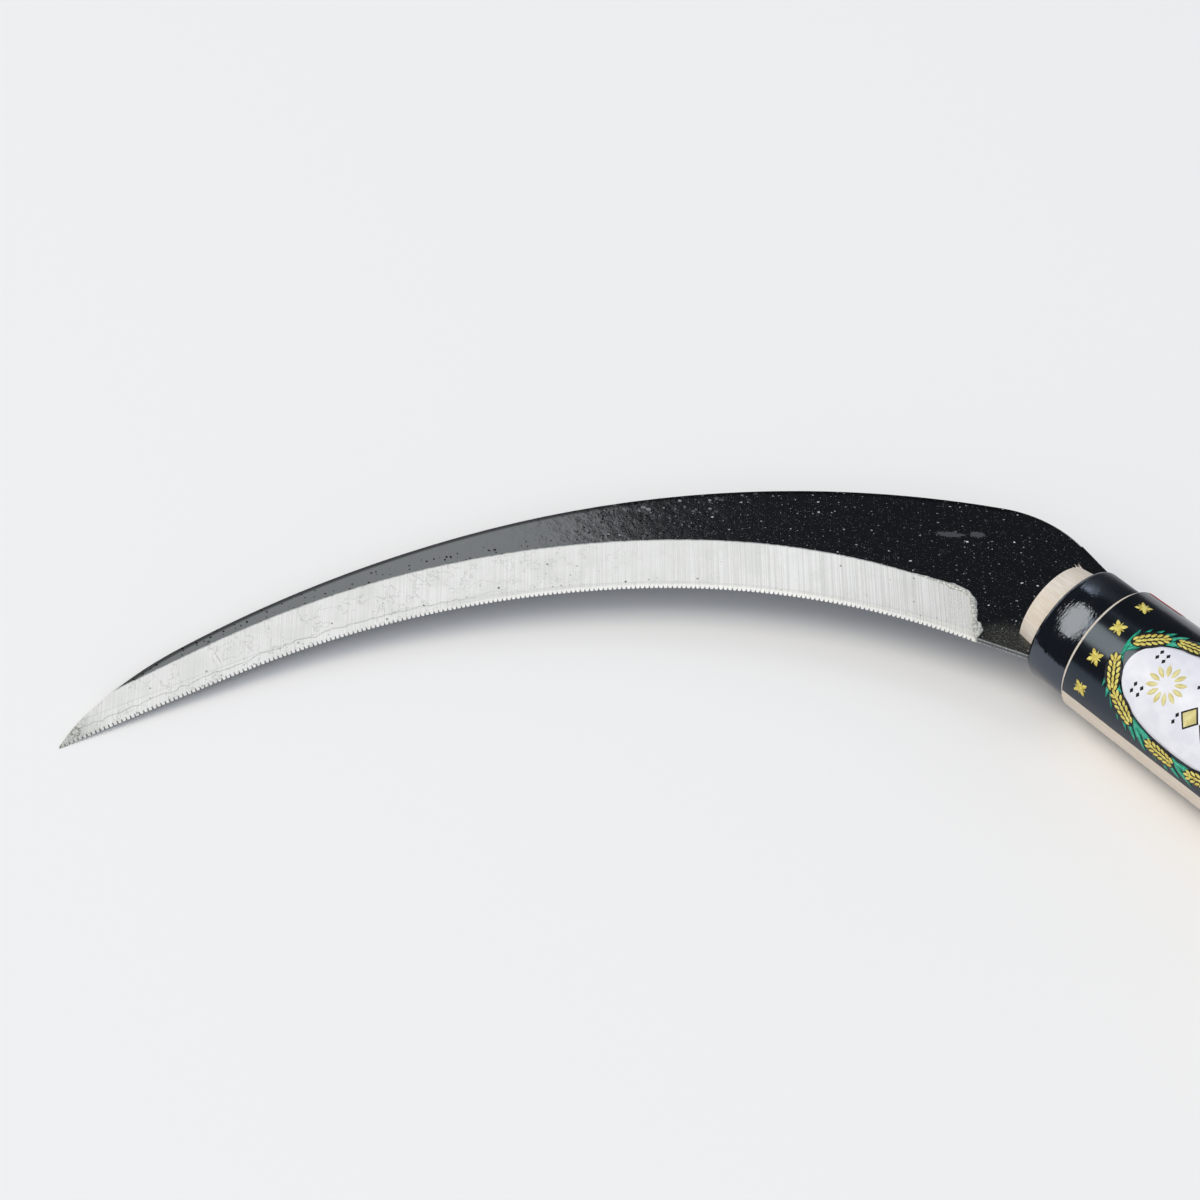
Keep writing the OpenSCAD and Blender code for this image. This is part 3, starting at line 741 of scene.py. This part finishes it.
def make_piece(name, grid, material, bead=False, thick=0.0):
    """k grids of n by m points, as an array (k, n, m, 3), made one mesh. A bead joins its last
    column to its first and gets a cap of m corners at each end. A sheet thicker than 0 is made
    solid away from its outer side."""
    k, n, m = grid.shape[:3]
    number = np.arange(k * n * m).reshape(k, n, m)
    right = np.roll(number, -1, axis=2) if bead else number[:, :, 1:]
    here = number if bead else number[:, :, :-1]
    quads = np.stack([here[:, :-1], right[:, :-1], right[:, 1:], here[:, 1:]], -1).reshape(-1, 4)
    faces = quads.tolist()
    if bead:
        faces += number[:, 0, ::-1].tolist() + number[:, -1].tolist()
    mesh = bpy.data.meshes.new(name)
    mesh.from_pydata(grid.reshape(-1, 3).tolist(), [], faces)
    mesh.polygons.foreach_set("use_smooth", np.ones(len(faces), bool))
    mesh.materials.append(material)
    piece = bpy.data.objects.new(name, mesh)
    bpy.context.scene.collection.objects.link(piece)
    if thick:
        solid = piece.modifiers.new("thickness", "SOLIDIFY")
        solid.thickness, solid.offset = thick, -1
    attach(piece, "root")
    print(name, "is", k, "grid(s) with", len(faces), "faces")


# %% [markdown]
# ## Printed shapes
# The print is made of a few plain shapes that printers have always used: leaves, lozenges and
# petals. They all come from one outline, a strip whose half width falls from the middle to the
# ends. Each is laid on the film as a skin of ink a few hundredths of a millimetre thick, because
# then its rim stays crisp at any distance.

# %% Shapes on the label
LABEL_R, TAPER = 14.0, 1.2 / 69.6  # outer radius of the film at the shoulder, and its growth per mm
ROUND = 14.2  # radius at which millimetres round the label are measured
INK = 0.03  # mm thick


def on_label(t, c, lift):
    """A point printed on the film, in metres. t is mm behind the shoulder and c is mm round the
    handle, up from its +Y side: x = shoulder - t, y = r cos a, z = r sin a, with a = c / ROUND."""
    r, a = LABEL_R + TAPER * t + lift, c / ROUND
    return np.stack([SHOULDER_X - t, r * np.cos(a), r * np.sin(a)], -1) * MM


def strips(t, c, length, width, turn, fall=2.0, power=1.0, n=9, m=3, lift=INK):
    """One strip at each (t, c), turned by turn degrees. Along it s runs from -1 to 1, and its
    half width is width / 2 (1 - |s| ** fall) ** power: 2 and 1 make a leaf, 1 and 1 a lozenge,
    2 and 0.5 an oval."""
    sizes = (np.atleast_1d(np.asarray(v, float)) for v in (t, c, length, width, np.radians(turn)))
    t, c, length, width, h = (v[:, None, None] for v in np.broadcast_arrays(*sizes))
    s = np.sin(np.linspace(-1, 1, n) * np.pi / 2)[None, :, None]
    half = width / 2 * np.maximum(1 - np.abs(s) ** fall, 0) ** power + 0.01
    q = np.linspace(-1, 1, m)[None, None, :] * half
    far = s * length / 2 + 0 * q
    along, round_it = far * np.cos(h) - q * np.sin(h), far * np.sin(h) + q * np.cos(h)
    return on_label(t + along, c + round_it, lift)


def ink(name, light, dark, grain_mm):
    """A printed colour under the film's gloss: two close tones mixed by the press's fine mottle."""
    material, tree = new_finish(name)
    place = place_in_mm(tree)
    mottle = put(tree, "TexNoise", {"Vector": place, "Scale": 1 / grain_mm, "Detail": 3.0})
    share = put(tree, "MapRange", [mottle, 0.35, 0.65, 0, 1], **SMOOTH)
    tone = put(tree, "Mix", {0: share, 6: paint(dark), 7: paint(light)}, **TINT)
    bump = film_ripples(tree, place)[1]
    shader = {"Base Color": tone, "Roughness": 0.3, "Specular IOR Level": 0.3, "Normal": bump}
    put(tree, "OutputMaterial", [put(tree, "BsdfPrincipled", shader)])
    return material


def print_on(name, grid, colour):
    """Lays printed strips on the film, as one thin sheet of ink."""
    make_piece(name, grid, colour, thick=INK * MM)


# %% Inks
white_ink = ink("white_print", "#eeecf0", "#e6e4e9", 3.0)
green_ink = ink("green_print", "#2bb08d", "#0d7f63", 1.4)
pale_green_ink = ink("pale_green_print", "#6fd2b4", "#35a887", 1.0)
gold_ink = ink("gold_print", "#efe07a", "#cdb54e", 0.9)
tan_ink = ink("tan_print", "#eadfa2", "#dccb82", 2.0)
black_ink = ink("black_print", "#2a2b2c", "#1a1b1d", 1.0)
red_ink = ink("red_print", "#d64a52", "#c63a45", 2.0)
print("inks:", [m.name for m in bpy.data.materials if m.name.endswith("_print")])

# %% [markdown]
# A pale oval fills most of the label. Round the front runs a row of gold marks of four petals,
# one every seven and a half millimetres, and a red block closes that row.

# %% Oval, gold marks and red block
PANEL = (29.0, 13.8)  # the oval's middle, as mm behind the shoulder and mm round the handle
ROW = 4.9  # mm behind the shoulder
panel = strips(*PANEL, 36.0, 20.0, 0, fall=2.3, power=0.5, n=41, m=25)
print_on("label_oval", panel, white_ink)

mark_c = np.concatenate([start + 7.5 * np.arange(4) for start in (2.8, 47.0)])
petal = np.radians(45 + 90 * np.arange(4))
petal_t = ROW + np.cos(petal)[None, :] + 0 * mark_c[:, None]
petal_c = mark_c[:, None] + np.sin(petal)[None, :]
petal_turn = np.degrees(petal)[None, :] + 0 * mark_c[:, None]
petals = strips(petal_t.ravel(), petal_c.ravel(), 1.75, 0.85, petal_turn.ravel())
bars = strips(ROW, np.repeat(mark_c, 2), 3.0, 0.42, np.tile([0, 90], 8))
print_on("label_marks", np.concatenate([petals, bars]), gold_ink)
print_on("label_block", strips(ROW, 36.4, 8.2, 6.6, 0, power=0, m=9), red_ink)

# %% [markdown]
# Green leaves with pale ribs stand round the oval in two close rings, leaning out and in by
# turns, and two pairs of rows of the same leaf run along the back of the label. Short dark ears
# lie over the rings, each with three staggered rows of gold grains.

# %% Leaves and ears round the oval


def round_panel(phi, along, across):
    """Places on an oval round the panel's middle, t - along cos(phi) and c + across sin(phi), and
    the way that its line runs there: atan2(11.7 cos(phi), 19.6 sin(phi)) in degrees."""
    turn = np.degrees(np.arctan2(11.7 * np.cos(phi), 19.6 * np.sin(phi)))
    return PANEL[0] - along * np.cos(phi), PANEL[1] + across * np.sin(phi), turn


leaf_phi = np.radians(np.arange(14.0, 350.0, 4.0))
outer = np.arange(len(leaf_phi)) % 2 == 0
half_axes = np.where(outer, 20.8, 19.2), np.where(outer, 12.6, 11.3)
oval_t, oval_c, oval_turn = round_panel(leaf_phi, *half_axes)
lean = np.where(outer, np.where(leaf_phi > np.pi, -28.0, 28.0), -6.0)
back_rows = np.meshgrid(np.arange(10.0, 50.5, 2.2), [42.0, 46.0, 64.0, 68.0])
back_t, back_c = (v.ravel() for v in back_rows)
leaf_t = np.concatenate([oval_t, back_t])
leaf_c = np.concatenate([oval_c, back_c])
leaf_turn = np.concatenate([oval_turn + lean, np.where(back_c % 8 < 4, 20.0, -20.0)])
leaves = strips(leaf_t, leaf_c, 7.0, 1.1, leaf_turn, lift=1.5 * INK)
print_on("label_leaves", leaves, green_ink)
ribs = strips(leaf_t, leaf_c, 5.6, 0.2, leaf_turn, lift=2 * INK)
print_on("label_leaf_ribs", ribs, pale_green_ink)

ear_phi = np.radians([30.0, 60.0, -18.0, -46.0, -82.0, -112.0])
ear_t, ear_c, ear_turn = round_panel(ear_phi, 20.0, 12.0)
ears = strips(ear_t, ear_c, 8.2, 3.9, ear_turn, power=0.6, n=13, m=7, lift=2.5 * INK)
print_on("label_ears", ears, black_ink)

# %% Grains on the ears
grain_a = (np.linspace(-2.9, 2.9, 6)[:, None] + [0.0, 0.45, 0.0]).ravel()  # along the ear
grain_b = np.tile([-0.95, 0.0, 0.95], 6) * (1 - 0.035 * grain_a**2)  # across it
ear_h = np.radians(ear_turn)[:, None]
grain_t = ear_t[:, None] + grain_a * np.cos(ear_h) - grain_b * np.sin(ear_h)
grain_c = ear_c[:, None] + grain_a * np.sin(ear_h) + grain_b * np.cos(ear_h)
grain_turn = (ear_turn[:, None] + 26.0 * np.tile([-1.0, 0.0, 1.0], 6)).ravel()
grain_t, grain_c = grain_t.ravel(), grain_c.ravel()
grains = strips(grain_t, grain_c, 1.35, 0.62, grain_turn, power=0.7, lift=3.5 * INK)
print_on("label_ear_grains", grains, gold_ink)

# %% [markdown]
# Inside the oval stand a ring of twelve thin gold leaves and a chain of lozenges, dark with a tan
# middle, with a few small dark points as a printer's filling.

# %% Motifs inside the oval
RING_T, RING_C, LEAF_OUT = 20.5, 14.2, 2.9  # middle of the ring of leaves, and its radius
CHAIN_C = 11.8  # mm round the handle
ray = np.radians(30 * np.arange(12))
sun_t, sun_c = RING_T + LEAF_OUT * np.cos(ray), RING_C + LEAF_OUT * np.sin(ray)
print_on("label_sun", strips(sun_t, sun_c, 2.6, 1.0, np.degrees(ray), lift=2 * INK), tan_ink)
chain_t = 28.5 + 4.6 * np.arange(4)
dark_links = strips(chain_t, CHAIN_C, 5.2, 4.4, 90, fall=1, lift=2 * INK)
points = np.meshgrid([15.2, 16.8, 26.0], [9.4, 10.9, 17.6, 19.0])
dark_points = strips(*(v.ravel() for v in points), 1.15, 0.8, 90, fall=1, lift=2 * INK)
print_on("label_chain", np.concatenate([dark_links, dark_points]), black_ink)
tan_links = strips(chain_t, CHAIN_C, 4.2, 3.5, 90, fall=1, lift=3 * INK)
print_on("label_chain_middles", tan_links, tan_ink)

# %% [markdown]
# ## The burr at the heel
# Where the wheel stopped it pushed a little steel and lacquer up in front of it. On the real
# tool that is a thin raised lip round the heel end of the band, with a lump at its lower end. It
# is a bead carried along a path: the last line of the wheel, the round corner and the first
# millimetres of the border.

# %% Path of the burr


def from_blade(u, v, w):
    """A place in the blade's plane, in metres of the part, with v and w turned by the lay angle:
    y = v cos(lay) + w sin(lay), z = w cos(lay) - v sin(lay)."""
    y = v * math.cos(lay) + w * math.sin(lay)
    z = w * math.cos(lay) - v * math.sin(lay)
    return np.stack(np.broadcast_arrays(RIM_X + u, y, z), -1) * MM


def bead(u, v, half_wide, high, m=10):
    """A bead on the blade's face along the points (u, v). Across the path, whose direction comes
    from its own steps, stands an ellipse: half_wide cos(phi) to the side, high sin(phi) up."""
    du, dv = np.gradient(u), np.gradient(v)
    size = np.hypot(du, dv)
    phi = np.linspace(0, 2 * np.pi, m, endpoint=False)[None, :]
    level = half_wide[:, None] * np.cos(phi)
    rise = high[:, None] * np.sin(phi)
    side_u, side_v = (dv / size)[:, None], (du / size)[:, None]
    return from_blade(u[:, None] + level * side_u, v[:, None] - level * side_v, TOP + rise)


HEEL_ROUND = 4.5  # radius of the band's corner at the heel
corner_turn = GRIND + border_start[2]
straight = BAND_HEEL - HEEL_ROUND * math.tan(math.radians(corner_turn / 2))
last_line = ahead(WHEEL_STOP, np.linspace(0.3, straight, 26))
corner = np.linspace(0, corner_turn, 15)[1:]
corner = turned(ahead(WHEEL_STOP, straight), HEEL_ROUND, corner)
on_border = turned(border_start, BORDER[0][1], np.linspace(1.4, 6.0, 30))
lip_u, lip_v = (np.concatenate([last_line[i], corner[i], on_border[i]]) for i in (0, 1))
share = np.linspace(0, 1, len(lip_u))
lumpy = 1 + 0.2 * np.sin(23 * share) + 0.14 * np.sin(51 * share + 1) + 0.08 * np.sin(87 * share + 2)
fade = np.clip(np.minimum(share * 30, (1 - share) * 3), 0.03, 1)
lip = bead(lip_u, lip_v, 0.58 * lumpy * fade, 0.27 * lumpy * fade)
lip_long = np.sum(np.hypot(np.diff(lip_u), np.diff(lip_v)))
print("the burr is", round(float(lip_long), 1), "mm long")

# %% The burr and its lump
burr_steel, tree = new_finish("torn_steel_and_lacquer")
torn = put(tree, "TexNoise", {"Vector": place_in_mm(tree), "Scale": 1.9, "Detail": 3.0})
torn = put(tree, "MapRange", [torn, 0.42, 0.6, 0, 1], **SMOOTH)
tone = put(tree, "Mix", {0: torn, 6: paint("#b9bab4"), 7: paint("#eceae4")}, **TINT)
bump = put(tree, "Bump", {"Strength": 0.7, "Distance": 0.1 * MM, "Height": torn})
burr_shader = {"Base Color": tone, "Metallic": 0.4, "Roughness": 0.5, "Normal": bump}
put(tree, "OutputMaterial", [put(tree, "BsdfPrincipled", burr_shader)])
make_piece("heel_burr", lip[None], burr_steel, bead=True)

LUMP_FROM, LUMP_TO = (12.9, 13.6), (10.5, 17.1)  # its two ends
lump_s = np.linspace(0, 1, 18)
lump_bow = np.sin(np.pi * lump_s)
lump_u = LUMP_FROM[0] * (1 - lump_s) + LUMP_TO[0] * lump_s - 0.5 * lump_bow
lump_v = LUMP_FROM[1] * (1 - lump_s) + LUMP_TO[1] * lump_s - 0.35 * lump_bow
lump_body = np.sqrt(np.clip(1 - (2 * lump_s - 1) ** 2, 0.002, 1))
lump_body *= 1 + 0.2 * np.sin(14 * lump_s + 1)
lump = bead(lump_u, lump_v, 0.62 * lump_body, 0.3 * lump_body, 12)
make_piece("heel_lump", lump[None], burr_steel, bead=True)

# %% [markdown]
# ## Splinters on the nose
# The saw that cut the slot tore a few fibres loose where the wood ends. Each is a sliver that
# starts in the wood's end and thins out over the lacquer.

# %% Splinters
NOSE_X, NOSE_R = RIM_X + 5.0, 10.0  # the nose's end and radius
ROOT_X, ROOT_R = NOSE_X - 0.35, NOSE_R - 0.12  # a sliver starts a little inside the wood
HALF_THICK, FLATNESS = 0.17, 1.6  # of a sliver at its root
sliver_turn = np.radians([118, 127, 133, 141, 146, 158])[:, None]
sliver_long = np.array([0.7, 1.5, 1.0, 2.0, 2.9, 1.1])[:, None]
sliver_lean = np.array([0.1, 0.35, -0.2, 0.3, 0.75, 0.2])[:, None]
s = np.linspace(0, 1, 8)[None, :]
mid_x = ROOT_X + sliver_long * s
mid_r = ROOT_R + 0.35 * sliver_lean * sliver_long * s * s
mid_a = sliver_turn + sliver_lean * 0.05 * sliver_long * s
phi = np.linspace(0, 2 * np.pi, 6, endpoint=False)[None, None, :]
thin = (HALF_THICK * (1 - 0.9 * s))[:, :, None]
sliver_r = mid_r[:, :, None] + thin * np.cos(phi)
sliver_a = mid_a[:, :, None] - FLATNESS * thin * np.sin(phi) / NOSE_R
sliver_x = mid_x[:, :, None] + 0 * phi
slivers = np.stack([sliver_x, sliver_r * np.cos(sliver_a), sliver_r * np.sin(sliver_a)], -1) * MM
make_piece("nose_splinters", slivers, wood, bead=True)

# %% [markdown]
# ## Size and end
# The box of the solids and the box of the finished tool are both printed. The finished tool has
# to stay in the box that the solids have.

# %% Size and end
boxes = {"cad": cad_box, "visual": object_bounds()}
for k, box in boxes.items():
    print(k, "box in mm:", [[round(float(c) * 1000, 2) for c in corner] for corner in box])
